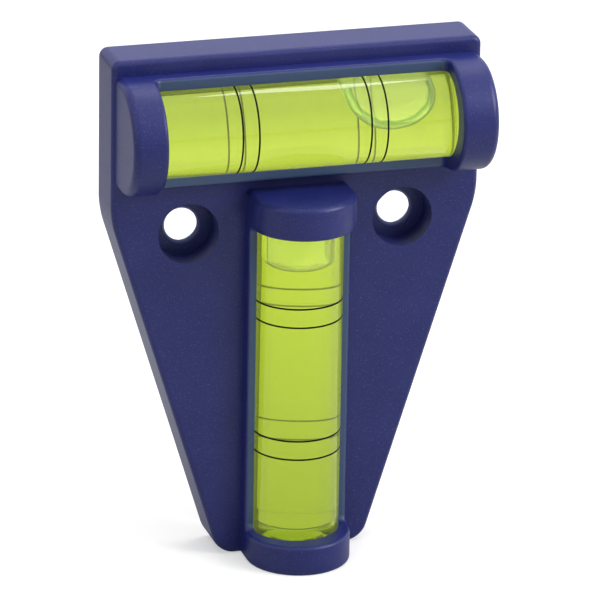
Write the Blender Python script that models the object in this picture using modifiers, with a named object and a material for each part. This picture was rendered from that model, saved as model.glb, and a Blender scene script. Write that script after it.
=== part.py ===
# T-shaped two-way post level: one moulded body, a vial in each arm, metres, +Z up.
# The level stands upright on the flat lower end of its stem, with its front towards -Y.

import math

import bmesh
import bpy
from mathutils import Matrix, Vector

# overall sizes of the moulded body
plate_width = 0.0500
plate_height = 0.0700
plate_thickness = 0.0070
body_depth = 0.0170

# outline of the plate
side_height = 0.0218
foot_half_width = 0.0100
top_corner_radius = 0.0010
shoulder_radius = 0.0120
foot_corner_radius = 0.0030
front_edge_round = 0.0008

# vial housings on the front of the plate
cross_housing_radius = 0.0075
stem_housing_radius = 0.0070
stem_housing_wall = 0.0010
vial_set_back = 0.0015
rim_above_plate = 0.0021
cross_axis_below_top = 0.0096
cross_housing_inset = 0.00045
stem_housing_gap = 0.0015
cross_cap_round = 0.0011
stem_cap_round = 0.0008
foot_edge_round = 0.0004
window_edge_round = 0.0006
corner_fillet = 0.0010

# closed caps at the ends of the windows that show the vials
cross_cap_length = 0.0046
stem_top_cap_length = 0.00455
stem_foot_cap_length = 0.00405
pocket_depth = 0.0016

# lugs that hold the vials in from the back
lug_length = 0.0040
lug_height = 0.0005
lug_width = 0.0009
lug_spread_share = 0.55
lug_clearance = 0.00005
lug_root = 0.0004

# screw holes beside the stem
screw_spacing = 0.0292
screw_below_top = 0.0242
seat_radius = 0.0041
seat_depth = 0.0038
screw_bore_radius = 0.0022
screw_bore_flare = 0.0004
throat_depth = 0.0004

# hollows behind the plate, with a boss round each screw hole
front_wall = 0.0020
side_wall = 0.0018
hollow_bottom = 0.0050
hollow_corner_radius = 0.0008
seat_floor = 0.0015
boss_wall = 0.0012

# vial tubes
tube_radius = 0.0059
tube_end_round = 0.0003
bore_middle_radius = 0.0042
bore_end_radius = 0.0041
cross_end_wall = 0.0009
stem_end_wall = 0.0023
plug_radius = 0.0049
cross_plug_length = 0.0018
stem_plug_length = 0.0030
plug_chamfer = 0.0003

# printed lines
line_width = 0.00034
line_depth = 0.00014
cross_inner_line = 0.0076
cross_outer_line = 0.0098
stem_inner_line = 0.0080
stem_outer_line = 0.0106
stem_lines_lift = 0.0007
cross_lines_shift = 0.00022

# bubbles
cross_bubble_length = 0.0128
cross_egg_width = 0.0130
cross_egg_height = 0.0070
cross_egg_lift = 0.0039
cross_bubble_from_end = 0.0031
stem_bubble_shown = 0.0060
meniscus_rise = 0.0005
bubble_edge_round = 0.0006

# fits
end_fit = 0.0001
line_fit = 0.00003
plug_fit = 0.00003
liquid_fit = 0.00003
bubble_fit = 0.00004
cutter_overrun = 0.0010

# counts, shares and the angle that counts as an edge
turn_steps = 44
arc_steps = 22
round_steps = 5
bubble_rings = 12
barrel_steps = 4
half = 0.5
sharp_angle = math.radians(40)

# places worked out from the sizes
housing_front = -body_depth
cross_housing_depth = body_depth - cross_housing_radius
stem_housing_depth = body_depth - stem_housing_radius
vial_depth = stem_housing_depth - vial_set_back
plate_front = -plate_thickness
rim_front = plate_front - rim_above_plate
back_to_middle = body_depth * half
slot_radius = stem_housing_radius - stem_housing_wall
cross_axis_height = plate_height - cross_axis_below_top
screw_height = plate_height - screw_below_top
cross_housing_length = plate_width - 2 * cross_housing_inset
cross_window_length = cross_housing_length - 2 * cross_cap_length
stem_housing_top = cross_axis_height - cross_housing_radius - stem_housing_gap
stem_window_bottom = stem_foot_cap_length
stem_window_top = stem_housing_top - stem_top_cap_length
stem_lines_height = (stem_window_bottom + stem_window_top) * half + stem_lines_lift
stem_bubble_bottom = stem_window_top - stem_bubble_shown
lug_reach = slot_radius - lug_height
tube_flank = math.sqrt(tube_radius**2 - lug_reach**2)
hollow_depth = plate_thickness - front_wall
boss_back = plate_thickness - seat_depth - seat_floor
boss_radius = seat_radius + boss_wall


def clear_scene():
    for item in list(bpy.data.objects):
        bpy.data.objects.remove(item, do_unlink=True)


def make_collection(name):
    group = bpy.data.collections.new(name)
    bpy.context.scene.collection.children.link(group)
    return group


def make_material(name, colour, roughness, metallic):
    material = bpy.data.materials.new(name)
    material.use_nodes = True
    shader = material.node_tree.nodes["Principled BSDF"]
    shader.inputs["Base Color"].default_value = colour
    shader.inputs["Roughness"].default_value = roughness
    shader.inputs["Metallic"].default_value = metallic
    return material


def put_in(item, group):
    for owner in list(item.users_collection):
        owner.objects.unlink(item)
    group.objects.link(item)


def bake_transform(item):
    item.data.transform(item.matrix_world)
    item.matrix_world = Matrix.Identity(4)


def apply_modifiers(item):
    bpy.context.view_layer.update()
    graph = bpy.context.evaluated_depsgraph_get()
    finished = bpy.data.meshes.new_from_object(item.evaluated_get(graph))
    item.modifiers.clear()
    item.data = finished


def join_cutter(target, cutter, operation):
    step = target.modifiers.new(cutter.name, "BOOLEAN")
    step.operation = operation
    step.solver = "EXACT"
    step.object = cutter
    apply_modifiers(target)


def make_cutter(item):
    item.hide_render = True
    item.display_type = "WIRE"
    put_in(item, cutters)


def add_box(name, low, high):
    middle = (Vector(low) + Vector(high)) * half
    bpy.ops.mesh.primitive_cube_add(size=1, location=middle)
    item = bpy.context.object
    item.name = name
    item.scale = Vector(high) - Vector(low)
    bpy.context.view_layer.update()
    bake_transform(item)
    return item


def add_cylinder(name, radius, start, end):
    run = Vector(end) - Vector(start)
    middle = (Vector(start) + Vector(end)) * half
    bpy.ops.mesh.primitive_cylinder_add(
        vertices=turn_steps, radius=radius, depth=run.length, location=middle
    )
    item = bpy.context.object
    item.name = name
    item.rotation_mode = "QUATERNION"
    item.rotation_quaternion = Vector((0, 0, 1)).rotation_difference(run)
    bpy.context.view_layer.update()
    bake_transform(item)
    return item


def round_corner(before, corner, after, radius):
    # points of the arc that rounds one corner of an outline
    back = (before - corner).normalized()
    ahead = (after - corner).normalized()
    turn = back.angle(ahead) * half
    centre = corner + (back + ahead).normalized() * (radius / math.sin(turn))
    run = radius / math.tan(turn)
    first = (corner + back * run - centre).normalized()
    last = (corner + ahead * run - centre).normalized()
    points = []
    for step in range(round_steps + 1):
        points.append(centre + first.slerp(last, step / round_steps) * radius)
    return points


def plate_outline():
    half_width = plate_width * half
    shoulder = plate_height - side_height
    corners = [
        (-half_width, plate_height, top_corner_radius),
        (half_width, plate_height, top_corner_radius),
        (half_width, shoulder, shoulder_radius),
        (foot_half_width, 0, foot_corner_radius),
        (-foot_half_width, 0, foot_corner_radius),
        (-half_width, shoulder, shoulder_radius),
    ]
    places = [Vector((across, height)) for across, height, radius in corners]
    points = []
    for index, (across, height, radius) in enumerate(corners):
        before = places[index - 1]
        after = places[(index + 1) % len(places)]
        points += round_corner(before, places[index], after, radius)
    return points


def flat_outline(name, points, thickness):
    # an outline in X and Z with its front face at minus the thickness
    curve = bpy.data.curves.new(name, "CURVE")
    curve.dimensions = "2D"
    curve.fill_mode = "BOTH"
    curve.extrude = thickness * half
    line = curve.splines.new("POLY")
    line.points.add(len(points) - 1)
    for place, point in zip(line.points, points):
        place.co = (point.x, point.y, 0, 1)
    line.use_cyclic_u = True
    item = bpy.data.objects.new(name, curve)
    scratch.objects.link(item)
    bpy.context.view_layer.update()
    graph = bpy.context.evaluated_depsgraph_get()
    shape = bpy.data.meshes.new_from_object(item.evaluated_get(graph))
    bpy.data.objects.remove(item, do_unlink=True)
    model = bmesh.new()
    model.from_mesh(shape)
    bmesh.ops.remove_doubles(model, verts=model.verts, dist=line_fit * half)
    model.to_mesh(shape)
    model.free()
    shape.transform(Matrix.Rotation(math.radians(90), 4, "X"))
    shape.transform(Matrix.Translation((0, -thickness * half, 0)))
    item = bpy.data.objects.new(name, shape)
    scratch.objects.link(item)
    return item


def round_edges(item, radius, chosen):
    # bevels the sharp edges whose two ends are both at a chosen place
    model = bmesh.new()
    model.from_mesh(item.data)
    marked = []
    for edge in model.edges:
        sharp = edge.calc_face_angle() > sharp_angle
        if sharp and all(chosen(corner.co) for corner in edge.verts):
            marked.append(edge.index)
    model.free()
    old = item.data.attributes.get("bevel_weight_edge")
    if old:
        item.data.attributes.remove(old)
    weights = item.data.attributes.new("bevel_weight_edge", "FLOAT", "EDGE")
    for index in marked:
        weights.data[index].value = 1
    step = item.modifiers.new("edges", "BEVEL")
    step.limit_method = "WEIGHT"
    step.width = radius
    step.segments = 3
    apply_modifiers(item)


def prism(name, points, run):
    # a solid from an outline in one plane, pushed along a run
    model = bmesh.new()
    face = model.faces.new([model.verts.new(point) for point in points])
    grown = bmesh.ops.extrude_face_region(model, geom=[face])
    moved = [item for item in grown["geom"] if isinstance(item, bmesh.types.BMVert)]
    bmesh.ops.translate(model, verts=moved, vec=run)
    bmesh.ops.recalc_face_normals(model, faces=model.faces)
    shape = bpy.data.meshes.new(name)
    model.to_mesh(shape)
    model.free()
    item = bpy.data.objects.new(name, shape)
    scratch.objects.link(item)
    return item


def cross_point(along, depth, across):
    return Vector((along, depth, cross_axis_height + across))


def stem_point(along, depth, across):
    return Vector((across, depth, along))


def half_round_bar(name, radius, axis_depth, back, point, low, high):
    # a bar with a half-round front and straight sides that run back
    outline = [(-radius, back)]
    for step in range(arc_steps + 1):
        turn = math.pi * step / arc_steps
        outline.append((-radius * math.cos(turn), -axis_depth - radius * math.sin(turn)))
    outline.append((radius, back))
    points = [point(low, depth, across) for across, depth in outline]
    return prism(name, points, point(high, 0, 0) - point(low, 0, 0))


def cross_tube_half():
    return cross_window_length * half + pocket_depth - end_fit


def stem_tube_low():
    return stem_window_bottom - pocket_depth + end_fit


def stem_tube_high():
    return stem_window_top + pocket_depth - end_fit


def cut_window(bar, low, high, along):
    # opens a housing's front down to its rims, with rounded corners
    def in_window(place):
        beside = low[along] - line_fit < place[along] < high[along] + line_fit
        return beside and place.y < rim_front + line_fit

    window = add_box(bar.name + "_window", low, high)
    round_edges(window, corner_fillet, lambda place: abs(place.y - rim_front) < line_fit)
    make_cutter(window)
    join_cutter(bar, window, "DIFFERENCE")
    round_edges(bar, window_edge_round, in_window)


def add_housings(body):
    past = cross_housing_radius + corner_fillet + cutter_overrun
    front = housing_front - cutter_overrun
    inside = plate_front * half
    bar = (cross_housing_radius, cross_housing_depth, inside)
    end = cross_housing_length * half
    cross = half_round_bar("cross_housing", *bar, cross_point, -end, end)
    round_edges(cross, cross_cap_round, lambda place: abs(place.x) > end - line_fit)
    window = cross_window_length * half
    low = (-window, front, cross_axis_height - past)
    high = (window, rim_front, cross_axis_height + past)
    cut_window(cross, low, high, 0)
    bar = (stem_housing_radius, stem_housing_depth, inside)
    top = stem_housing_top
    stem = half_round_bar("stem_housing", *bar, stem_point, 0, top)
    round_edges(stem, stem_cap_round, lambda place: place.z > top - line_fit)
    round_edges(stem, foot_edge_round, lambda place: place.z < line_fit)
    low = (-past, front, stem_window_bottom)
    high = (past, rim_front, stem_window_top)
    cut_window(stem, low, high, 2)
    for housing in (cross, stem):
        join_cutter(body, housing, "UNION")
        bpy.data.objects.remove(housing, do_unlink=True)


def hollow_outline(side):
    # a hollow's corners, a wall's thickness inside the plate's edge, beside the stem
    half_width = plate_width * half
    shoulder = plate_height - side_height
    lean = (half_width - foot_half_width) / shoulder
    slant = side_wall * math.hypot(1, lean)
    outer = half_width - side_wall
    top = cross_axis_height - cross_housing_radius
    bend = shoulder + (slant - side_wall) / lean
    low_corner = half_width - slant - (shoulder - hollow_bottom) * lean
    corners = [
        Vector((side * stem_housing_radius, top)),
        Vector((side * outer, top)),
        Vector((side * outer, bend)),
        Vector((side * low_corner, hollow_bottom)),
        Vector((side * stem_housing_radius, hollow_bottom)),
    ]
    points = []
    for index, corner in enumerate(corners):
        after = corners[(index + 1) % len(corners)]
        points += round_corner(corners[index - 1], corner, after, hollow_corner_radius)
    return points


def cut_hollows(body):
    for side in (-1, 1):
        hollow = flat_outline("hollow", hollow_outline(side), hollow_depth + cutter_overrun)
        hollow.data.transform(Matrix.Translation((0, cutter_overrun, 0)))
        across = side * screw_spacing * half
        start = (across, -hollow_depth - cutter_overrun, screw_height)
        boss = add_cylinder("boss", boss_radius, start, (across, -boss_back, screw_height))
        join_cutter(hollow, boss, "DIFFERENCE")
        bpy.data.objects.remove(boss, do_unlink=True)
        make_cutter(hollow)
        join_cutter(body, hollow, "DIFFERENCE")


def cut_vial_slots(body):
    bar = (slot_radius, vial_depth, cutter_overrun)
    end = cross_tube_half() + end_fit
    slots = [half_round_bar("cross_slot", *bar, cross_point, -end, end)]
    low = stem_tube_low() - end_fit
    high = stem_tube_high() + end_fit
    slots.append(half_round_bar("stem_slot", *bar, stem_point, low, high))
    for slot in slots:
        make_cutter(slot)
        join_cutter(body, slot, "DIFFERENCE")


def cut_screw_holes(body):
    # a hole that narrows to a throat behind the flat seat for the screw's head
    floor_front = plate_thickness - seat_depth
    profile = [
        (0, body_depth),
        (seat_radius, body_depth),
        (seat_radius, floor_front),
        (screw_bore_radius + screw_bore_flare, floor_front),
        (screw_bore_radius, floor_front - throat_depth),
        (screw_bore_radius + screw_bore_flare, boss_back),
        (screw_bore_radius + screw_bore_flare, -cutter_overrun),
        (0, -cutter_overrun),
    ]
    for side in (-1, 1):
        cutter = turned("screw_hole", profile)
        cutter.data.transform(Matrix.Rotation(math.radians(90), 4, "X"))
        place = Vector((side * screw_spacing * half, 0, screw_height))
        cutter.data.transform(Matrix.Translation(place))
        make_cutter(cutter)
        join_cutter(body, cutter, "DIFFERENCE")


def add_lug(body, wall, inward, along):
    # a small ridge on a slot's side wall, behind the tube's flank, that it snaps past
    crest = -vial_depth + tube_flank + lug_clearance + lug_width * half
    outward = -inward
    start = -along * lug_length * half
    points = [
        wall + outward * lug_root + Vector((0, crest - lug_width, 0)),
        wall + inward * lug_height + Vector((0, crest - lug_width * half, 0)),
        wall + inward * lug_height + Vector((0, crest, 0)),
        wall + outward * lug_root + Vector((0, crest + lug_width, 0)),
    ]
    lug = prism("lug", [point + start for point in points], along * lug_length)
    join_cutter(body, lug, "UNION")
    bpy.data.objects.remove(lug, do_unlink=True)


def add_lugs(body):
    stem_middle = (stem_window_bottom + stem_window_top) * half
    cross_reach = cross_window_length * half * lug_spread_share
    stem_reach = (stem_window_top - stem_window_bottom) * half * lug_spread_share
    for end in (-1, 1):
        for side in (-1, 1):
            wall = Vector((end * cross_reach, 0, cross_axis_height + side * slot_radius))
            add_lug(body, wall, Vector((0, 0, -side)), Vector((1, 0, 0)))
            wall = Vector((side * slot_radius, 0, stem_middle + end * stem_reach))
            add_lug(body, wall, Vector((-side, 0, 0)), Vector((0, 0, 1)))


def build_body():
    body = flat_outline("body", plate_outline(), plate_thickness)
    round_edges(body, front_edge_round, lambda place: place.y < plate_front + line_fit)
    add_housings(body)
    cut_hollows(body)
    cut_vial_slots(body)
    add_lugs(body)
    cut_screw_holes(body)
    return finish(body, "body", body_colour, Matrix.Identity(4))


def turned(name, profile):
    # a solid of revolution about Z from a profile that runs down its outer side
    shape = bpy.data.meshes.new(name)
    model = bmesh.new()
    corners = [model.verts.new((across, 0, height)) for across, height in profile]
    for first, second in zip(corners, corners[1:]):
        model.edges.new((first, second))
    if profile[0][0] > 0:
        model.edges.new((corners[-1], corners[0]))
    model.to_mesh(shape)
    model.free()
    item = bpy.data.objects.new(name, shape)
    scratch.objects.link(item)
    step = item.modifiers.new("turn", "SCREW")
    step.axis = "Z"
    step.angle = math.radians(360)
    step.steps = turn_steps
    step.render_steps = turn_steps
    step.use_merge_vertices = True
    step.merge_threshold = 0.00001
    apply_modifiers(item)
    return item


def barrel_radius(share):
    # the bore's radius at a share of its length from the middle, 1 at its ends
    return bore_middle_radius - (bore_middle_radius - bore_end_radius) * share * share


def barrel_profile(low, high, inset):
    # points down the barrel-shaped bore's wall
    points = []
    middle = (low + high) * half
    reach = (high - low) * half
    for step in range(barrel_steps + 1):
        share = 1 - 2 * step / barrel_steps
        points.append((barrel_radius(abs(share)) - inset, middle + reach * share))
    return points


def tube_profile(low, high, plug_length, end_wall, lines):
    # a cup with a closed top end, a barrel bore, a plug seat and a groove for each line
    edge = tube_end_round
    outer = tube_radius
    groove = tube_radius - line_depth
    points = [(0, high), (outer - edge, high), (outer, high - edge)]
    for line in sorted(lines, reverse=True):
        reach = line_width * half
        points += [(outer, line + reach), (groove, line + reach)]
        points += [(groove, line - reach), (outer, line - reach)]
    points += [(outer, low + edge), (outer - edge, low)]
    points += [(plug_radius, low), (plug_radius, low + plug_length)]
    points += reversed(barrel_profile(low + plug_length, high - end_wall, 0))
    points.append((0, high - end_wall))
    return points


def plug_profile(low, plug_length):
    radius = plug_radius - plug_fit
    top = low + plug_length - plug_fit
    return [
        (0, top),
        (radius - plug_chamfer, top),
        (radius, top - plug_chamfer),
        (radius, low + plug_chamfer),
        (radius - plug_chamfer, low),
        (0, low),
    ]


def line_profile(place):
    reach = line_width * half - line_fit
    inner = tube_radius - line_depth + line_fit
    outer = tube_radius
    return [
        (outer, place + reach),
        (outer, place - reach),
        (inner, place - reach),
        (inner, place + reach),
    ]


def line_places(middle, inner, outer):
    return {
        "low_outer": middle - outer,
        "low_inner": middle - inner,
        "high_inner": middle + inner,
        "high_outer": middle + outer,
    }


def stem_cavity():
    return stem_tube_low() + stem_plug_length, stem_tube_high() - stem_end_wall


def cross_cavity():
    reach = cross_tube_half()
    return -reach + cross_plug_length, reach - cross_end_wall


def stem_liquid():
    # liquid up to the air pocket, with a surface that climbs at the wall
    low, high = stem_cavity()
    surface = stem_bubble_bottom - bubble_fit - meniscus_rise
    middle = (low + high) * half
    reach = (high - low) * half
    share = (stem_bubble_bottom - middle) / reach
    edge = barrel_radius(share) - liquid_fit
    points = [(0, surface), (edge * half, surface + meniscus_rise * half * half)]
    points.append((edge, surface + meniscus_rise))
    for radius, height in barrel_profile(low, high, liquid_fit):
        if height < surface - bubble_edge_round and height > low + liquid_fit:
            points.append((radius, height))
    points += [(bore_end_radius - liquid_fit, low + liquid_fit), (0, low + liquid_fit)]
    return turned("stem_vial_liquid", points)


def stem_bubble():
    # the air pocket, bowed down at its lower end, with its middle as its origin
    low, high = stem_cavity()
    top = high - bubble_fit
    radius = bore_end_radius - bubble_fit
    middle = (top + stem_bubble_bottom) * half
    edge = bubble_edge_round
    points = [(0, top), (radius - edge, top), (radius, top - edge)]
    points += [(radius, stem_bubble_bottom + edge)]
    points += [(radius - edge, stem_bubble_bottom + meniscus_rise * half)]
    points += [(radius * half, stem_bubble_bottom - meniscus_rise * half)]
    points += [(0, stem_bubble_bottom - meniscus_rise)]
    points = [(across, height - middle) for across, height in points]
    return turned("stem_vial_bubble", points), middle


def cross_bubble_blob(name, extra):
    # a flat egg across the tube, whose lower part is the bubble's underside
    bpy.ops.mesh.primitive_uv_sphere_add(segments=turn_steps, ring_count=bubble_rings, radius=1)
    item = bpy.context.object
    item.name = name
    long_reach = cross_bubble_length * half + extra
    wide_reach = cross_egg_width * half + extra
    tall_reach = cross_egg_height * half + extra
    item.rotation_euler.y = math.radians(90)
    item.scale = (tall_reach, wide_reach, long_reach)
    bpy.context.view_layer.update()
    bake_transform(item)
    item.data.transform(Matrix.Translation((0, 0, cross_egg_lift)))
    return item


def cross_bubble():
    # the egg cut to the tube's bore; its origin is on the tube's axis
    blob = cross_bubble_blob("cross_vial_bubble", 0)
    reach = cross_bubble_length
    radius = bore_end_radius - bubble_fit
    bore = add_cylinder("cross_bore", radius, (-reach, 0, 0), (reach, 0, 0))
    make_cutter(bore)
    join_cutter(blob, bore, "INTERSECT")
    return blob


def cross_liquid():
    # liquid that fills the bore, with the bubble's hollow open at the top
    low, high = cross_cavity()
    points = [(0, high - liquid_fit)]
    rows = barrel_profile(low, high, liquid_fit)
    rows[0] = (rows[0][0], high - liquid_fit)
    rows[-1] = (rows[-1][0], low + liquid_fit)
    points += rows
    points.append((0, low + liquid_fit))
    liquid = turned("cross_vial_liquid", points)
    liquid.data.transform(Matrix.Rotation(math.radians(90), 4, "Y"))
    hollow = cross_bubble_blob("bubble_hollow", bubble_fit)
    hollow.data.transform(Matrix.Translation((cross_bubble_place(), 0, 0)))
    make_cutter(hollow)
    join_cutter(liquid, hollow, "DIFFERENCE")
    return liquid


def finish(item, name, colour, place):
    item.name = name
    item.data.name = name
    item.data.materials.clear()
    item.data.materials.append(colour)
    put_in(item, level)
    item.matrix_world = place
    for face in item.data.polygons:
        face.use_smooth = True
    item.data.set_sharp_from_angle(angle=math.radians(30))
    return item


def build_vial(prefix, low, high, plug_length, end_wall, lines, place):
    profile = tube_profile(low, high, plug_length, end_wall, lines.values())
    tube = turned(prefix + "_vial_tube", profile)
    finish(tube, prefix + "_vial_tube", tube_colour, place)
    plug = turned(prefix + "_vial_plug", plug_profile(low, plug_length))
    finish(plug, prefix + "_vial_plug", plug_colour, place)
    for label, height in lines.items():
        name = prefix + "_line_" + label
        finish(turned(name, line_profile(height)), name, line_colour, place)


def cross_bubble_place():
    low, high = cross_cavity()
    return high - cross_bubble_from_end - cross_bubble_length * half


def build_cross_vial():
    reach = cross_tube_half()
    lines = line_places(cross_lines_shift, cross_inner_line, cross_outer_line)
    axis = Matrix.Translation((0, -vial_depth, cross_axis_height))
    place = axis @ Matrix.Rotation(math.radians(90), 4, "Y")
    build_vial("cross", -reach, reach, cross_plug_length, cross_end_wall, lines, place)
    finish(cross_liquid(), "cross_vial_liquid", liquid_colour, axis)
    along = axis @ Matrix.Translation((cross_bubble_place(), 0, 0))
    finish(cross_bubble(), "cross_vial_bubble", bubble_colour, along)


def build_stem_vial():
    lines = line_places(stem_lines_height, stem_inner_line, stem_outer_line)
    axis = Matrix.Translation((0, -vial_depth, 0))
    low = stem_tube_low()
    build_vial("stem", low, stem_tube_high(), stem_plug_length, stem_end_wall, lines, axis)
    finish(stem_liquid(), "stem_vial_liquid", liquid_colour, axis)
    bubble, middle = stem_bubble()
    up = axis @ Matrix.Translation((0, 0, middle))
    finish(bubble, "stem_vial_bubble", bubble_colour, up)


def centre_depth():
    # the origin is under the middle of the body's depth
    frame = bpy.data.objects.new("frame", None)
    level.objects.link(frame)
    frame.location.y = back_to_middle
    for item in level.objects:
        if item.type == "MESH":
            item.parent = frame


clear_scene()
level = make_collection("post_level")
cutters = make_collection("cutters")
scratch = make_collection("scratch")
body_colour = make_material("body_plastic", (0.032, 0.036, 0.133, 1), 0.42, 0)
tube_colour = make_material("vial_acrylic", (0.62, 0.75, 0.12, 1), 0.08, 0)
plug_colour = make_material("plug_acrylic", (0.50, 0.64, 0.10, 1), 0.15, 0)
liquid_colour = make_material("vial_liquid", (0.55, 0.72, 0.08, 1), 0.05, 0)
bubble_colour = make_material("bubble_air", (0.86, 0.92, 0.62, 1), 0.05, 0)
line_colour = make_material("line_ink", (0.01, 0.01, 0.01, 1), 0.5, 0)
build_body()
build_cross_vial()
build_stem_vial()
centre_depth()
bpy.data.collections.remove(scratch)
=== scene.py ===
import math

import bmesh
import bpy
from mathutils import Matrix, Vector


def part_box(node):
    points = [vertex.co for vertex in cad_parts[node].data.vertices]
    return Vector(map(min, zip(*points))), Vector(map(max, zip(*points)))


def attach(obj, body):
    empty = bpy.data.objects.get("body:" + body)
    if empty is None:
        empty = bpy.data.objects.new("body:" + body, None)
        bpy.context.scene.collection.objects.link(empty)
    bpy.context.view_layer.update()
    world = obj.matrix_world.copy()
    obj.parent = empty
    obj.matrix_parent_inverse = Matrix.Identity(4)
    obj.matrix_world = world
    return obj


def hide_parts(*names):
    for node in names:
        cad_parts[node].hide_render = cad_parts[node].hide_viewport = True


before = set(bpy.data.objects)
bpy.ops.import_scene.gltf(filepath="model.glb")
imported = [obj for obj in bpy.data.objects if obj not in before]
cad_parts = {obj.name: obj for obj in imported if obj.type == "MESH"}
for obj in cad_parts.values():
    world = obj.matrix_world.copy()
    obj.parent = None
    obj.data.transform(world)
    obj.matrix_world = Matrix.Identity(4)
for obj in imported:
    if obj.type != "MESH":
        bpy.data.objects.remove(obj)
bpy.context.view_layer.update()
bpy.ops.object.select_all(action="DESELECT")
print("frame loaded with", len(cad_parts), "nodes")

# the CAD says where the body's front and back and the two vials are, in metres
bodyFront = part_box("body")[0].y
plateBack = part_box("body")[1].y
crossLow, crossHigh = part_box("cross_vial_tube")
stemLow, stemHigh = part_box("stem_vial_tube")
vialDepth = (stemLow.y + stemHigh.y) / 2
crossHeight = (crossLow.z + crossHigh.z) / 2

hair = 0.00001  # two places closer than this are the same place
spare = 0.001  # how far a cutter reaches past what it cuts


def lookAt(piece):
    bpy.ops.object.select_all(action="DESELECT")
    bpy.context.view_layer.objects.active = piece
    piece.select_set(True)


def openEdit(piece):
    lookAt(piece)
    bpy.ops.object.mode_set(mode="EDIT")
    bpy.ops.mesh.select_all(action="DESELECT")


def closeEdit():
    bpy.ops.object.mode_set(mode="OBJECT")


def pick(piece, kind, test):
    # selects what passes the test, in edit mode
    bpy.ops.mesh.select_mode(type=kind)
    bpy.ops.mesh.select_all(action="DESELECT")
    model = bmesh.from_edit_mesh(piece.data)
    found = {"VERT": model.verts, "EDGE": model.edges, "FACE": model.faces}[kind]
    for part in found:
        if test(part):
            part.select_set(True)
    model.select_flush_mode()
    bmesh.update_edit_mesh(piece.data)


def near(value, target, reach=0.000002):
    return abs(value - target) < reach


def cornersAt(height):
    return lambda corner: near(corner.co.z, height)


def edgesAt(axis, place, sharp=0.3):
    # the edges that lie in one plane and turn by more than this, in radians
    def test(edge):
        level = all(near(corner.co[axis], place) for corner in edge.verts)
        return level and edge.calc_face_angle(0) > sharp

    return test


def edgesThrough(height):
    # the edges that run from back to front at a height
    def test(edge):
        first, last = (corner.co for corner in edge.verts)
        level = near(first.z, height) and near(last.z, height)
        return level and near(first.x, last.x)

    return test


def facesLooking(axis, sign, place=None, straight=0.9):
    # the faces that look along an axis, at one place on it if that is given
    def test(face):
        there = place is None or near(face.calc_center_median()[axis], place)
        return there and face.normal[axis] * sign > straight

    return test


def applyPlace(piece):
    lookAt(piece)
    bpy.ops.object.transform_apply(location=True, rotation=True, scale=True)


def turnPiece(piece, axis, degrees):
    piece.rotation_euler[axis] = math.radians(degrees)
    applyPlace(piece)


def movePiece(piece, place):
    piece.location = place
    applyPlace(piece)


def finishModifier(piece, kind, **values):
    lookAt(piece)
    step = piece.modifiers.new(kind.lower(), kind)
    for name, value in values.items():
        setattr(step, name, value)
    bpy.ops.object.modifier_apply(modifier=step.name)


def combine(piece, other, operation):
    finishModifier(piece, "BOOLEAN", operation=operation, solver="EXACT", object=other)
    bpy.data.objects.remove(other, do_unlink=True)


def addBlock(name, low, high):
    low, high = Vector(low), Vector(high)
    bpy.ops.object.select_all(action="DESELECT")
    bpy.ops.mesh.primitive_cube_add(size=1, location=(low + high) / 2, scale=high - low)
    piece = bpy.context.object
    piece.name = name
    applyPlace(piece)
    return piece


def addRod(name, radius, low, high, sides=128):
    # a rod along Z on the axis, to be turned and placed later
    bpy.ops.object.select_all(action="DESELECT")
    place = (0, 0, (low + high) / 2)
    bpy.ops.mesh.primitive_cylinder_add(
        vertices=sides, radius=radius, depth=high - low, location=place
    )
    piece = bpy.context.object
    piece.name = name
    applyPlace(piece)
    return piece


def cutAcross(height):
    # a loop of edges round the whole piece
    bpy.ops.mesh.select_all(action="SELECT")
    bpy.ops.mesh.bisect(plane_co=(0, 0, height), plane_no=(0, 0, 1))


def bevelEdges(piece, test, offset, segments, slide=True):
    pick(piece, "EDGE", test)
    bpy.ops.mesh.bevel(
        offset=offset, segments=segments, profile=0.5, affect="EDGES", loop_slide=slide
    )


def extrudeAlong(step, scale=1):
    bpy.ops.mesh.extrude_region_move(TRANSFORM_OT_translate={"value": (0, 0, step)})
    bpy.ops.transform.resize(value=(scale, scale, 1), center_override=(0, 0, 0))


class Wire:
    # a socket that Python's own signs work on
    def __init__(self, tree, socket=None):
        self.tree = tree
        self.socket = socket

    def node(self, kind, settings=None, values=None, output=0):
        made = self.tree.nodes.new("ShaderNode" + kind)
        for name, value in (settings or {}).items():
            if name == "stops":
                ramp = made.color_ramp
                while len(ramp.elements) < len(value):
                    ramp.elements.new(0.5)
                for element, (place, colour) in zip(ramp.elements, value):
                    element.position = place
                    element.color = colour
            else:
                setattr(made, name, value)
        for name, value in (values or {}).items():
            socket = made.inputs[name]
            if isinstance(value, Wire):
                self.tree.links.new(value.socket, socket)
            else:
                socket.default_value = value
        return Wire(self.tree, made.outputs[output] if made.outputs else None)

    def maths(self, operation, first, second=0):
        return self.node("Math", {"operation": operation}, {0: first, 1: second})

    def __add__(self, other):
        return self.maths("ADD", self, other)

    def __radd__(self, other):
        return self.maths("ADD", other, self)

    def __sub__(self, other):
        return self.maths("SUBTRACT", self, other)

    def __rsub__(self, other):
        return self.maths("SUBTRACT", other, self)

    def __mul__(self, other):
        return self.maths("MULTIPLY", self, other)

    def __rmul__(self, other):
        return self.maths("MULTIPLY", other, self)


def newMaterial(name):
    material = bpy.data.materials.new(name)
    material.use_nodes = True
    material.node_tree.nodes.clear()
    return material, Wire(material.node_tree)


def noise(wire, scale, detail=2.0, roughness=0.5):
    # noise in the object's own coordinates, scale in waves to a metre
    place = wire.node("TexCoord", output="Object")
    return wire.node(
        "TexNoise",
        {"noise_dimensions": "3D"},
        {"Vector": place, "Scale": scale, "Detail": detail, "Roughness": roughness},
    )


def coordinate(wire, axis, kind="Object"):
    # the place on the object along one axis, or how far its surface looks that way
    place = wire.node("TexCoord", output=kind)
    return wire.node("SeparateXYZ", None, {0: place}, output="XYZ".index(axis))


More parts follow.
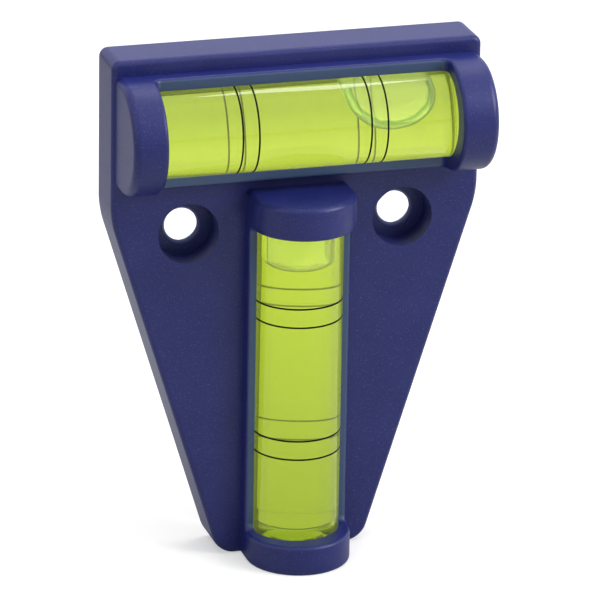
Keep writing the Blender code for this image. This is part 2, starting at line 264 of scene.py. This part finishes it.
def mixColours(wire, share, first, second):
    return wire.node("Mix", {"data_type": "RGBA"}, {0: share, 6: first, 7: second}, output=2)


def fade(wire, value, span, first, last):
    # goes from the first number to the last while the value crosses the span
    return wire.node("MapRange", None, {0: value, 1: span[0], 2: span[1], 3: first, 4: last})


mouldedPlastic = {
    "colour": (0.0080, 0.0125, 0.108, 1),
    "paleColour": (0.0150, 0.0205, 0.136, 1),
    "blotchScale": 160.0,
    "blotchSpan": (0.35, 0.65),
    "blotchShare": 0.5,
    "roughness": 0.36,
    "roughnessSpread": 0.16,
    "specular": 0.38,
    "grainScale": 6500.0,
    "grainHeight": 0.00004,
    "grainStrength": 0.7,
    "speckColour": (0.075, 0.090, 0.260, 1),
    "speckScale": 5200.0,
    "speckSpan": (0.61, 0.80),
    "speckShare": 0.6,
    "rimPaintedLightColour": (0.045, 0.085, 0.150, 1),
    "rimPaintedLightSpan": (0.0001, 0.0004),
    "rimPaintedLightShare": 0.7,
    "frontSpan": (-0.9, -0.7),
    "holePaintedLightColour": (0.20, 0.23, 0.42, 1),
    "holePaintedLightSpan": (0.0023, 0.0026),
    "holePaintedLightShare": 0.8,
}


def mouldedMaterial(values, rimDepth, holeAcross, holeHeight):
    material, wire = newMaterial("mouldedPlastic")
    blotch = noise(wire, values["blotchScale"], 3.0)
    grain = noise(wire, values["grainScale"], 2.0, 0.6)
    speck = noise(wire, values["speckScale"], 1.0)
    mask = fade(wire, blotch, values["blotchSpan"], 0.0, 1.0)
    share = mask * values["blotchShare"]
    colour = mixColours(wire, share, values["colour"], values["paleColour"])
    mask = fade(wire, speck, values["speckSpan"], 0.0, values["speckShare"])
    colour = mixColours(wire, mask, colour, values["speckColour"])
    # painted light: a little green is painted on the flat rims beside the vials, for the light
    # that the vials throw on them
    offRim = wire.maths("ABSOLUTE", coordinate(wire, "Y") - rimDepth)
    mask = fade(wire, offRim, values["rimPaintedLightSpan"], values["rimPaintedLightShare"], 0.0)
    mask = mask * fade(wire, coordinate(wire, "Y", "Normal"), values["frontSpan"], 1.0, 0.0)
    colour = mixColours(wire, mask, colour, values["rimPaintedLightColour"])
    # painted light: the walls of the screw holes are painted paler, for the light from behind that
    # catches them
    across = wire.maths("ABSOLUTE", coordinate(wire, "X")) - holeAcross
    up = coordinate(wire, "Z") - holeHeight
    away = wire.maths("SQRT", across * across + up * up)
    mask = fade(wire, away, values["holePaintedLightSpan"], values["holePaintedLightShare"], 0.0)
    colour = mixColours(wire, mask, colour, values["holePaintedLightColour"])
    bump = wire.node(
        "Bump",
        None,
        {"Strength": values["grainStrength"], "Distance": values["grainHeight"], "Height": grain},
    )
    shader = wire.node(
        "BsdfPrincipled",
        None,
        {
            "Base Color": colour,
            "Roughness": values["roughness"] + (grain - 0.5) * values["roughnessSpread"],
            "Specular IOR Level": values["specular"],
            "Normal": bump,
        },
    )
    wire.node("OutputMaterial", None, {"Surface": shader})
    return material


# the two tubes' colours at the bottom and the top of a span of heights; the change with height is
# painted light and shade, the stem's tube darker towards its bottom and the cross tube darker
# towards its top
vialPlastics = {
    "crossSkin": {
        "colour": (0.68, 0.77, 0.129, 1),
        "paintedLightTopColour": (0.35, 0.415, 0.077, 1),
        "span": (0.0560, 0.0640),
        "seeThrough": 0.97,
        "index": 1.49,
        "glow": 0.16,
    },
    "stemSkin": {
        "colour": (0.32, 0.40, 0.038, 1),
        "paintedLightTopColour": (0.54, 0.63, 0.064, 1),
        "span": (0.003, 0.047),
        "seeThrough": 0.97,
        "index": 1.49,
        "glow": 0.16,
    },
    "vialBore": {
        "colour": (0.86, 0.93, 0.50, 1),
        "seeThrough": 1.0,
        "index": 1.49,
        "glow": 0.0,
    },
    "vialLiquid": {
        "colour": (0.96, 1.0, 0.85, 1),
        "seeThrough": 1.0,
        "index": 1.475,
        "glow": 0.0,
    },
}

vialSurface = {
    "paintedLightTopShare": 0.9,
    "streakScale": 90.0,
    "streakShare": 0.1,
    "roughness": 0.02,
    "wearScale": 900.0,
    "wearSpread": 0.02,
}


def vialMaterial(name, look, surface):
    material, wire = newMaterial(name)
    tint = look["colour"]
    # painted light and shade: the tint changes with height, between the colour at the bottom and
    # the one at the top, with random streaks in it
    if "paintedLightTopColour" in look:
        paintedLightByHeight = fade(wire, coordinate(wire, "Z"), look["span"], 0.0, surface["paintedLightTopShare"])
        streaks = noise(wire, surface["streakScale"], 1.0)
        share = paintedLightByHeight + streaks * surface["streakShare"]
        tint = mixColours(wire, share, look["colour"], look["paintedLightTopColour"])
    wear = noise(wire, surface["wearScale"], 2.0)
    # painted light: a tube whose glow is above nought gives off light in its own tint, though it
    # is no lamp
    shader = wire.node(
        "BsdfPrincipled",
        None,
        {
            "Base Color": tint,
            "Roughness": surface["roughness"] + wear * surface["wearSpread"],
            "IOR": look["index"],
            "Transmission Weight": look["seeThrough"],
            "Emission Color": tint,
            "Emission Strength": look["glow"],
        },
    )
    wire.node("OutputMaterial", None, {"Surface": shader})
    return material


# a bubble's index is that of air as seen from within the liquid, made softer
airValues = {
    "crossIndex": 1 / 1.12,
    "stemIndex": 1 / 1.19,
    "seeThrough": 0.84,
    "paintedGlowColour": (0.34, 0.46, 0.70, 1),
    "glow": 0.18,
    "filmScale": 700.0,
    "filmSpread": 0.02,
    "stops": [
        (0.00, (0.98, 0.98, 0.94, 1)),
        (0.02, (0.98, 0.98, 0.94, 1)),
        (0.04, (0.09, 0.30, 0.07, 1)),
        (0.08, (0.33, 0.74, 0.30, 1)),
        (0.16, (1.00, 1.00, 1.00, 1)),
        (0.24, (1.00, 1.00, 1.00, 1)),
        (0.34, (0.33, 0.74, 0.30, 1)),
        (0.60, (0.16, 0.48, 0.14, 1)),
        (1.00, (0.06, 0.26, 0.05, 1)),
    ],
}


def airMaterial(name, values, index):
    # clear, with a band of greens where the surface turns down from the wall; the band is painted
    # light and shade, dark green at its edges with a painted white highlight in its middle
    material, wire = newMaterial(name)
    film = noise(wire, values["filmScale"], 1.0)
    rim = wire.node("Attribute", {"attribute_name": "rim"}, output="Fac")
    turned = rim + (film - 0.5) * values["filmSpread"]
    tint = wire.node("ValToRGB", {"stops": values["stops"]}, {0: turned})
    # painted light: the bubble gives off a pale blue light, though it is no lamp
    shader = wire.node(
        "BsdfPrincipled",
        None,
        {
            "Base Color": tint,
            "Roughness": 0.0,
            "IOR": index,
            "Transmission Weight": values["seeThrough"],
            "Emission Color": values["paintedGlowColour"],
            "Emission Strength": values["glow"],
        },
    )
    wire.node("OutputMaterial", None, {"Surface": shader})
    return material


inkValues = {
    "colour": (0.001, 0.001, 0.001, 1),
    "paleColour": (0.003, 0.004, 0.002, 1),
    "speckScale": 3000.0,
    "roughness": 0.5,
    "roughnessSpread": 0.2,
    "specular": 0.1,
}


def inkMaterial(values):
    material, wire = newMaterial("lineInk")
    speck = noise(wire, values["speckScale"], 2.0)
    shader = wire.node(
        "BsdfPrincipled",
        None,
        {
            "Base Color": mixColours(wire, speck, values["colour"], values["paleColour"]),
            "Roughness": values["roughness"] + speck * values["roughnessSpread"],
            "Specular IOR Level": values["specular"],
        },
    )
    wire.node("OutputMaterial", None, {"Surface": shader})
    return material


bodyValues = {
    "width": 0.0500,
    "height": 0.0700,
    "thickness": 0.0070,
    "sideHeight": 0.0218,
    "footHalfWidth": 0.0100,
    "topRound": 0.0012,
    "shoulderRound": 0.00182,
    "footRound": 0.0022,
    "frontRound": 0.0007,
    "backRound": 0.00025,
    "crossRadius": 0.0075,
    "stemRadius": 0.0070,
    "slotRadius": 0.00593,
    "rimHeight": 0.0021,
    "crossLength": 0.0491,
    "crossCap": 0.0046,
    "crossRightCap": 0.00495,
    "stemTop": 0.0514,
    "stemTopCap": 0.00455,
    "stemFootCap": 0.00405,
    "pocket": 0.0016,
    "crossCapRound": 0.0010,
    "stemCapRound": 0.0008,
    "footEdgeRound": 0.0004,
    "fillet": 0.0010,
    "windowRound": 0.0005,
    "windowSharp": 0.7,
    "frontWall": 0.0020,
    "sideWall": 0.0018,
    "hollowBottom": 0.0050,
    "hollowRound": 0.0008,
    "hollowFloorRound": 0.0003,
    "bossRadius": 0.0053,
    "bossDepth": 0.0053,
    "bossRound": 0.00025,
    "screwSpacing": 0.0292,
    "screwHeight": 0.0458,
    "screwSides": 96,
    "seatRadius": 0.0041,
    "seatDepth": 0.0038,
    "floor": 0.0015,
    "boreRadius": 0.0022,
    "boreFlare": 0.0004,
    "throatDepth": 0.0004,
    "cutterLength": 0.012,
    "cutterTail": 0.004,
    "mergeReach": 0.000008,
    "flatAngle": 0.6,
    "edgeAngle": 36,
    "edgeRound": 0.00016,
    "smoothAngle": 35,
}


def makePlate(v):
    front = plateBack - v["thickness"]
    half = v["width"] / 2
    plate = addBlock("levelBody", (-half, front, 0), (half, plateBack, v["height"]))
    shoulder = v["height"] - v["sideHeight"]
    openEdit(plate)
    cutAcross(shoulder)
    pick(plate, "VERT", cornersAt(0))
    share = v["footHalfWidth"] / half
    bpy.ops.transform.resize(value=(share, 1, 1), center_override=(0, 0, 0))
    bevelEdges(plate, edgesThrough(0), v["footRound"], segments=8)
    bevelEdges(plate, edgesThrough(shoulder), v["shoulderRound"], segments=8)
    bevelEdges(plate, edgesThrough(v["height"]), v["topRound"], segments=6)
    bevelEdges(plate, edgesAt(1, front), v["frontRound"], segments=5, slide=False)
    bevelEdges(plate, edgesAt(1, plateBack), v["backRound"], segments=3, slide=False)
    closeEdit()
    return plate


def halfRound(name, radius, axis, root, low, high):
    # a bar along Z with a half-round front and straight sides back to its root
    bar = addRod(name, radius, low, high)
    openEdit(bar)
    bpy.ops.mesh.select_all(action="SELECT")
    bpy.ops.mesh.bisect(
        plane_co=(0, 0, 0), plane_no=(0, 1, 0), clear_outer=True, use_fill=True
    )
    pick(bar, "FACE", facesLooking(1, 1))
    step = {"value": (0, root - axis, 0)}
    bpy.ops.mesh.extrude_region_move(TRANSFORM_OT_translate=step)
    closeEdit()
    return bar


def makeHousing(v, name, radius, low, high, caps, rounds):
    # a half-round bar along Z, opened between its caps, with every edge rounded
    root = plateBack - v["thickness"] / 2
    bar = halfRound(name, radius, bodyFront + radius, root, low, high)
    openEdit(bar)
    for end, rounding in zip((low, high), rounds):
        bevelEdges(bar, edgesAt(2, end), rounding, segments=6)
    closeEdit()
    rim = plateBack - v["thickness"] - v["rimHeight"] - bodyFront - radius
    past = radius + spare
    bottom, top = low + caps[0], high - caps[1]
    block = addBlock("window", (-past, -past, bottom), (past, rim, top))
    openEdit(block)

    def windowCorner(edge):
        first, last = (end.co for end in edge.verts)
        return near(first.y, rim) and near(last.y, rim) and near(first.z, last.z)

    bevelEdges(block, windowCorner, v["fillet"], segments=8)
    closeEdit()
    combine(bar, block, "DIFFERENCE")
    openEdit(bar)

    def aroundWindow(edge):
        inside = all(
            bottom - hair < end.co.z < top + hair and end.co.y < rim + hair
            for end in edge.verts
        )
        return inside and edge.calc_face_angle(0) > v["windowSharp"]

    bevelEdges(bar, aroundWindow, v["windowRound"], segments=4)
    closeEdit()
    return bar


def makeHollow(v, side):
    # the hollow behind one side of the plate, with the screw's boss left standing in it
    half = v["width"] / 2
    shoulder = v["height"] - v["sideHeight"]
    lean = (half - v["footHalfWidth"]) / shoulder
    slant = v["sideWall"] * math.hypot(1, lean)
    outer = half - v["sideWall"]
    bend = shoulder + (slant - v["sideWall"]) / lean
    lowCorner = half - slant - (shoulder - v["hollowBottom"]) * lean
    front = plateBack - v["thickness"] + v["frontWall"]
    top = crossHeight - v["crossRadius"]
    sides = sorted((side * v["stemRadius"], side * outer))
    low = (sides[0], front, v["hollowBottom"])
    hollow = addBlock("hollow", low, (sides[1], plateBack + spare, top))

    def outerFoot(corner):
        return near(corner.co.z, v["hollowBottom"]) and near(corner.co.x, side * outer)

    openEdit(hollow)
    cutAcross(bend)
    pick(hollow, "VERT", outerFoot)
    bpy.ops.transform.translate(value=(side * (lowCorner - outer), 0, 0))
    for height in (v["hollowBottom"], bend, top):
        bevelEdges(hollow, edgesThrough(height), v["hollowRound"], segments=5)
    bevelEdges(hollow, edgesAt(1, front), v["hollowFloorRound"], segments=3)
    closeEdit()
    boss = addRod("boss", v["bossRadius"], -v["cutterTail"], v["bossDepth"], v["screwSides"])
    openEdit(boss)
    bevelEdges(boss, edgesAt(2, v["bossDepth"]), v["bossRound"], segments=3)
    closeEdit()
    turnPiece(boss, 0, -90)
    movePiece(boss, (side * v["screwSpacing"] / 2, plateBack - v["thickness"], v["screwHeight"]))
    combine(hollow, boss, "DIFFERENCE")
    return hollow


def makeScrewCutter(v, side):
    # a stepped rod that leaves the flat seat, and a hole that narrows to a throat behind it
    cutter = addRod(
        "screwCutter", v["seatRadius"], -v["seatDepth"], v["cutterLength"], v["screwSides"]
    )
    openEdit(cutter)
    wide = v["boreRadius"] + v["boreFlare"]
    pick(cutter, "FACE", facesLooking(2, -1))
    bpy.ops.mesh.inset(thickness=v["seatRadius"] - wide)
    extrudeAlong(-v["throatDepth"], v["boreRadius"] / wide)
    extrudeAlong(v["throatDepth"] - v["floor"], wide / v["boreRadius"])
    extrudeAlong(-v["cutterTail"])
    closeEdit()
    turnPiece(cutter, 0, 90)
    movePiece(cutter, (side * v["screwSpacing"] / 2, plateBack - v["thickness"], v["screwHeight"]))
    return cutter


def makeBody(v):
    body = makePlate(v)
    reach = v["crossLength"] / 2
    caps = (v["crossCap"], v["crossRightCap"])
    rounds = (v["crossCapRound"], v["crossCapRound"])
    cross = makeHousing(v, "crossHousing", v["crossRadius"], -reach, reach, caps, rounds)
    turnPiece(cross, 1, 90)
    movePiece(cross, (0, bodyFront + v["crossRadius"], crossHeight))
    caps = (v["stemFootCap"], v["stemTopCap"])
    rounds = (v["footEdgeRound"], v["stemCapRound"])
    stem = makeHousing(v, "stemHousing", v["stemRadius"], 0, v["stemTop"], caps, rounds)
    movePiece(stem, (0, bodyFront + v["stemRadius"], 0))
    combine(body, cross, "UNION")
    combine(body, stem, "UNION")
    for side in (-1, 1):
        combine(body, makeHollow(v, side), "DIFFERENCE")
    # the slots that the vials are pushed into from behind
    behind = plateBack + 2 * spare
    pocket = reach - v["crossCap"] + v["pocket"]
    slot = halfRound("crossSlot", v["slotRadius"], vialDepth, behind, -pocket, pocket)
    turnPiece(slot, 1, 90)
    movePiece(slot, (0, vialDepth, crossHeight))
    combine(body, slot, "DIFFERENCE")
    low = v["stemFootCap"] - v["pocket"]
    high = v["stemTop"] - v["stemTopCap"] + v["pocket"]
    slot = halfRound("stemSlot", v["slotRadius"], vialDepth, behind, low, high)
    movePiece(slot, (0, vialDepth, 0))
    combine(body, slot, "DIFFERENCE")
    for side in (-1, 1):
        combine(body, makeScrewCutter(v, side), "DIFFERENCE")
    # the booleans' slivers go before the last edges are rounded
    openEdit(body)
    bpy.ops.mesh.select_all(action="SELECT")
    bpy.ops.mesh.remove_doubles(threshold=v["mergeReach"])
    bpy.ops.mesh.dissolve_limited(angle_limit=math.radians(v["flatAngle"]))
    closeEdit()
    finishModifier(
        body,
        "BEVEL",
        width=v["edgeRound"],
        segments=3,
        limit_method="ANGLE",
        angle_limit=math.radians(v["edgeAngle"]),
        miter_outer="MITER_ARC",
    )
    lookAt(body)
    bpy.ops.object.shade_smooth_by_angle(angle=math.radians(v["smoothAngle"]))
    finishModifier(body, "WEIGHTED_NORMAL", keep_sharp=True)
    rimDepth = plateBack - v["thickness"] - v["rimHeight"]
    plastic = mouldedMaterial(mouldedPlastic, rimDepth, v["screwSpacing"] / 2, v["screwHeight"])
    body.data.materials.append(plastic)
    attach(body, "level")
    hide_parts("body")
    return body


body = makeBody(bodyValues)
print("body done with", len(body.data.polygons), "faces")


vialValues = {
    "radius": 0.00588,
    "endRound": 0.0003,
    "boreMiddle": 0.0042,
    "boreEnd": 0.0041,
    "boreRound": 0.0003,
    "plugRadius": 0.0049,
    "plugRound": 0.0003,
    "plugRim": 0.0016,
    "plugDish": 0.0008,
    "dishTaper": 0.8,
    "seatReach": 0.0004,
    "overlap": 0.000012,
    "sides": 128,
    "steps": 8,
    "smoothAngle": 40,
}

# each line's place along its vial, and how far it is askew in degrees
crossVial = {
    "prefix": "cross",
    "low": -0.02145,
    "high": 0.02145,
    "plug": 0.0018,
    "endWall": 0.0009,
    "lines": {
        "low_outer": (-0.00931, -1.7),
        "low_inner": (-0.00711, -1.7),
        "high_inner": (0.00800, -1.6),
        "high_outer": (0.01022, -1.6),
    },
}

stemVial = {
    "prefix": "stem",
    "low": 0.00255,
    "high": 0.04835,
    "plug": 0.0030,
    "endWall": 0.0023,
    "lines": {
        "low_outer": (0.01555, 0),
        "low_inner": (0.01815, 0),
        "high_inner": (0.03410, 0),
        "high_outer": (0.03655, 1.2),
    },
}

lineValues = {"width": 0.00024, "height": 0.000016, "lift": 0.000002, "sides": 128}


def boreRadius(v, share):
    # the bore is widest in the middle, so that a bubble comes to rest there
    return v["boreMiddle"] - (v["boreMiddle"] - v["boreEnd"]) * share * share


def makeTube(v, vial):
    # a cup: a rod, hollowed from its plug end with a barrel-shaped bore
    low, high = vial["low"], vial["high"]
    tube = addRod(vial["prefix"] + "VialTube", v["radius"], low, high, v["sides"])
    openEdit(tube)
    for end in (low, high):
        bevelEdges(tube, edgesAt(2, end), v["endRound"], segments=4)
    pick(tube, "FACE", facesLooking(2, -1, low))
    bpy.ops.mesh.inset(thickness=v["radius"] - v["endRound"] - v["plugRadius"])
    extrudeAlong(vial["plug"])
    bpy.ops.mesh.inset(thickness=v["plugRadius"] - v["boreEnd"])
    low, high = low + vial["plug"], high - vial["endWall"]
    last = v["boreEnd"]
    for step in range(1, v["steps"] + 1):
        radius = boreRadius(v, 1 - 2 * step / v["steps"])
        extrudeAlong((high - low) / v["steps"], radius / last)
        last = radius
    bevelEdges(tube, edgesAt(2, high), v["boreRound"], segments=3)
    closeEdit()
    return tube


def makeLiquid(v, vial):
    # fills the bore and laps into its wall, so that no air shows between them
    low = vial["low"] + vial["plug"] - v["overlap"]
    high = vial["high"] - vial["endWall"] + v["overlap"]
    end = v["boreEnd"] + v["overlap"]
    liquid = addRod(vial["prefix"] + "VialLiquid", end, low, high, v["sides"])
    openEdit(liquid)
    for step in range(1, v["steps"]):
        cutAcross(low + (high - low) * step / v["steps"])
    for step in range(1, v["steps"]):
        pick(liquid, "VERT", cornersAt(low + (high - low) * step / v["steps"]))
        scale = (boreRadius(v, 1 - 2 * step / v["steps"]) + v["overlap"]) / end
        bpy.ops.transform.resize(value=(scale, scale, 1), center_override=(0, 0, 0))
    bevelEdges(liquid, edgesAt(2, high), v["boreRound"], segments=3)
    closeEdit()
    return liquid


def makePlug(v, vial):
    # a short stopper with a shallow dish in its outer end
    low, high = vial["low"], vial["low"] + vial["plug"] - v["overlap"] * 3
    radius = v["plugRadius"] - v["overlap"]
    plug = addRod(vial["prefix"] + "VialPlug", radius, low, high, v["sides"])
    openEdit(plug)
    for end in (low, high):
        bevelEdges(plug, edgesAt(2, end), v["plugRound"], segments=3)
    pick(plug, "FACE", facesLooking(2, -1, low))
    bpy.ops.mesh.inset(thickness=v["plugRim"])
    extrudeAlong(v["plugDish"], v["dishTaper"])
    closeEdit()
    return plug


def makeLine(v, vial, label, place, tilt):
    # a thin band of ink around the tube, printed a little askew
    bpy.ops.object.select_all(action="DESELECT")
    bpy.ops.mesh.primitive_cylinder_add(
        vertices=v["sides"],
        radius=vialValues["radius"] + v["lift"],
        depth=v["width"],
        end_fill_type="NOTHING",
        location=(0, 0, place),
        rotation=(-math.radians(tilt), 0, 0),
    )
    band = bpy.context.object
    band.name = vial["prefix"] + "Line_" + label
    applyPlace(band)
    finishModifier(band, "SOLIDIFY", thickness=v["height"], offset=1)
    return band


def settle(piece, vial, nodeName, material):
    # a piece modelled along Z goes to its place in the level
    if vial["prefix"] == "cross":
        turnPiece(piece, 1, 90)
        movePiece(piece, (0, vialDepth, crossHeight))
    else:
        movePiece(piece, (0, vialDepth, 0))
    lookAt(piece)
    bpy.ops.object.shade_smooth_by_angle(angle=math.radians(vialValues["smoothAngle"]))
    piece.data.materials.append(material)
    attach(piece, "level")
    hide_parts(nodeName)


def paintBore(v, vial, tube, material):
    # the faces inside the tube get a material of their own
    tube.data.materials.append(material)
    lying = vial["prefix"] == "cross"
    middle = Vector((0, vialDepth, crossHeight if lying else 0))
    for face in tube.data.polygons:
        centre = face.center - middle
        across = math.hypot(centre.y, centre.z if lying else centre.x)
        along = centre.x if lying else centre.z
        between = vial["low"] + hair < along < vial["high"] - hair
        if between and across < v["plugRadius"] + v["seatReach"]:
            face.material_index = 1


looks = {name: vialMaterial(name, look, vialSurface) for name, look in vialPlastics.items()}
ink = inkMaterial(inkValues)

for vial in (crossVial, stemVial):
    prefix = vial["prefix"]
    tube = makeTube(vialValues, vial)
    settle(tube, vial, prefix + "_vial_tube", looks[prefix + "Skin"])
    paintBore(vialValues, vial, tube, looks["vialBore"])
    liquid = makeLiquid(vialValues, vial)
    settle(liquid, vial, prefix + "_vial_liquid", looks["vialLiquid"])
    plug = makePlug(vialValues, vial)
    settle(plug, vial, prefix + "_vial_plug", looks["vialBore"])
    for piece in (tube, liquid, plug):
        piece.visible_shadow = False
    for label, (place, tilt) in vial["lines"].items():
        band = makeLine(lineValues, vial, label, place, tilt)
        settle(band, vial, prefix + "_line_" + label, ink)
print("vials done")


bubbleValues = {
    "crossLength": 0.0129,
    "ovalHeight": 0.0091,
    "ovalLift": 0.0040,
    "ovalReach": 0.008,
    "roofReach": 0.02,
    "crossPlace": 0.01130,
    "film": 0.00005,
    "coarseVoxel": 0.00025,
    "coarseSmoothing": 80,
    "fineVoxel": 0.00010,
    "fineSmoothing": 12,
    "rimFront": -0.15,
    "stemBottom": 0.04095,
    "stemTop": 0.0460,
    "stemRadius": 0.00325,
    "stemRound": 0.0010,
    "stemTopRound": 0.0004,
    "smoothAngle": 50,
}


def makeCrossBubble(v):
    # an oval bar cut to the bore, with its lower rim rounded by surface tension
    bubble = addRod("crossVialBubble", 0.5, -v["ovalReach"], v["ovalReach"])
    turnPiece(bubble, 0, 90)
    bubble.scale = (v["crossLength"], 1, v["ovalHeight"])
    movePiece(bubble, (0, 0, v["ovalLift"]))
    roofRadius = vialValues["boreEnd"] - v["film"]
    roof = addRod("boreRoof", roofRadius, -v["roofReach"], v["roofReach"])
    turnPiece(roof, 1, 90)
    combine(bubble, roof, "INTERSECT")
    for size in ("coarse", "fine"):
        finishModifier(bubble, "REMESH", mode="VOXEL", voxel_size=v[size + "Voxel"])
        finishModifier(bubble, "SMOOTH", factor=0.5, iterations=v[size + "Smoothing"])
    movePiece(bubble, (v["crossPlace"], vialDepth, crossHeight))
    return bubble


def markRim(v, bubble):
    # how far the front of the surface has turned away from the bore's wall
    rim = bubble.data.attributes.new("rim", "FLOAT", "POINT")
    for corner in bubble.data.vertices:
        outward = Vector((0, corner.co.y - vialDepth, corner.co.z - crossHeight))
        turned = corner.normal.angle(outward) / math.radians(90)
        rim.data[corner.index].value = turned if corner.normal.y < v["rimFront"] else 0


def makeStemBubble(v):
    bubble = addRod("stemVialBubble", v["stemRadius"], v["stemBottom"], v["stemTop"])
    openEdit(bubble)
    bevelEdges(bubble, edgesAt(2, v["stemBottom"]), v["stemRound"], segments=8)
    bevelEdges(bubble, edgesAt(2, v["stemTop"]), v["stemTopRound"], segments=4)
    closeEdit()
    movePiece(bubble, (0, vialDepth, 0))
    return bubble


for prefix, makeBubble in (("cross", makeCrossBubble), ("stem", makeStemBubble)):
    bubble = makeBubble(bubbleValues)
    lookAt(bubble)
    bpy.ops.object.shade_smooth_by_angle(angle=math.radians(bubbleValues["smoothAngle"]))
    air = airMaterial(prefix + "Air", airValues, airValues[prefix + "Index"])
    bubble.data.materials.append(air)
    if prefix == "cross":
        markRim(bubbleValues, bubble)
    bubble.visible_shadow = False
    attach(bubble, prefix + "_bubble")
    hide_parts(prefix + "_vial_bubble")
print("bubbles done")


# a lamp's name, place, size and power, and whether it shows in reflections
studio = {
    "white": (1, 1, 1, 1),
    "floorSize": 8,
    "floorColour": (0.58, 0.58, 0.58, 1),
    "floorGlow": 0.45,
    "worldStrength": 0.42,
    "middle": (0, 0, 0.035),
    "lamps": (
        ("keyLamp", (0.31, -0.20, 0.26), 0.20, 1.2, True),
        ("fillLamp", (-0.60, -0.20, 0.35), 0.50, 0.5, True),
        ("topLamp", (0.03, 0.0, 0.60), 0.60, 3.3, False),
        ("stripLamp", (0.165, 0.24, 0.58), 0.13, 0.28, True),
    ),
}


def makeFloor(v):
    # paper that glows a little for the camera, and is plain white through the vials
    bpy.ops.object.select_all(action="DESELECT")
    bpy.ops.mesh.primitive_plane_add(size=v["floorSize"], location=(0, 0, 0))
    floor = bpy.context.object
    floor.name = "studioFloor"
    material, wire = newMaterial("floorPaper")
    seen = wire.node("LightPath", output="Is Camera Ray")
    through = wire.node("LightPath", output="Is Transmission Ray")
    paper = wire.node("BsdfDiffuse", None, {"Color": v["floorColour"]})
    glow = wire.node("Emission", None, {"Color": v["white"], "Strength": seen * v["floorGlow"]})
    both = wire.node("AddShader", None, {0: paper, 1: glow})
    bright = wire.node("Emission", None, {"Color": v["white"], "Strength": 1.0})
    surface = wire.node("MixShader", None, {0: through, 1: both, 2: bright})
    wire.node("OutputMaterial", None, {"Surface": surface})
    floor.data.materials.append(material)


def makeWorld(v):
    # plain white wherever it is seen, and dimmer where it only lights
    world = bpy.data.worlds.new("studioWorld")
    world.use_nodes = True
    world.node_tree.nodes.clear()
    wire = Wire(world.node_tree)
    seen = wire.node("LightPath", output="Is Camera Ray")
    for ray in ("Is Transmission Ray", "Is Glossy Ray"):
        seen = wire.maths("MAXIMUM", seen, wire.node("LightPath", output=ray))
    strength = v["worldStrength"] + seen * (1 - v["worldStrength"])
    sky = wire.node("Background", None, {"Color": v["white"], "Strength": strength})
    wire.node("OutputWorld", None, {"Surface": sky})
    bpy.context.scene.world = world


def addLamp(name, place, target, size, power, mirrored):
    lamp = bpy.data.lights.new(name, "AREA")
    lamp.size = size
    lamp.energy = power
    item = bpy.data.objects.new(name, lamp)
    bpy.context.scene.collection.objects.link(item)
    item.visible_glossy = mirrored
    item.visible_transmission = False
    item.location = place
    item.rotation_euler = (Vector(target) - Vector(place)).to_track_quat("-Z", "Y").to_euler()


makeFloor(studio)
makeWorld(studio)
for name, place, size, power, mirrored in studio["lamps"]:
    addLamp(name, place, studio["middle"], size, power, mirrored)


# angles in degrees, the lens in pixels of the photo, the slides in metres across the view
cameraValues = {
    "yaw": 16.89,
    "pitch": 20.13,
    "roll": 1.0,
    "focalPixels": 5301.6,
    "frameWidth": 597,
    "sensorWidth": 36,
    "distance": 0.700,
    "slideX": -0.00103,
    "slideY": 0.00202,
    "centre": (0, 0.0035, 0.037),
    "farLimit": 20,
}


def makeCamera(v):
    yaw, pitch, roll = (math.radians(v[key]) for key in ("yaw", "pitch", "roll"))
    level = math.cos(pitch)
    back = Vector((-math.sin(yaw) * level, -math.cos(yaw) * level, math.sin(pitch)))
    right = Vector((math.cos(yaw), -math.sin(yaw), 0))
    up = back.cross(right).normalized()
    leanRight = right * math.cos(roll) + up * math.sin(roll)
    leanUp = -right * math.sin(roll) + up * math.cos(roll)
    camera = bpy.data.cameras.new("camera")
    camera.sensor_width = v["sensorWidth"]
    camera.lens = v["focalPixels"] / v["frameWidth"] * v["sensorWidth"]
    camera.clip_end = v["farLimit"]
    item = bpy.data.objects.new("camera", camera)
    bpy.context.scene.collection.objects.link(item)
    place = Vector(v["centre"]) + back * v["distance"]
    place -= leanRight * v["slideX"] + leanUp * v["slideY"]
    turn = Matrix((leanRight, leanUp, back)).transposed().to_4x4()
    item.matrix_world = Matrix.Translation(place) @ turn
    bpy.context.scene.camera = item


makeCamera(cameraValues)
bpy.context.scene.view_settings.view_transform = "Standard"
print("studio and camera done")
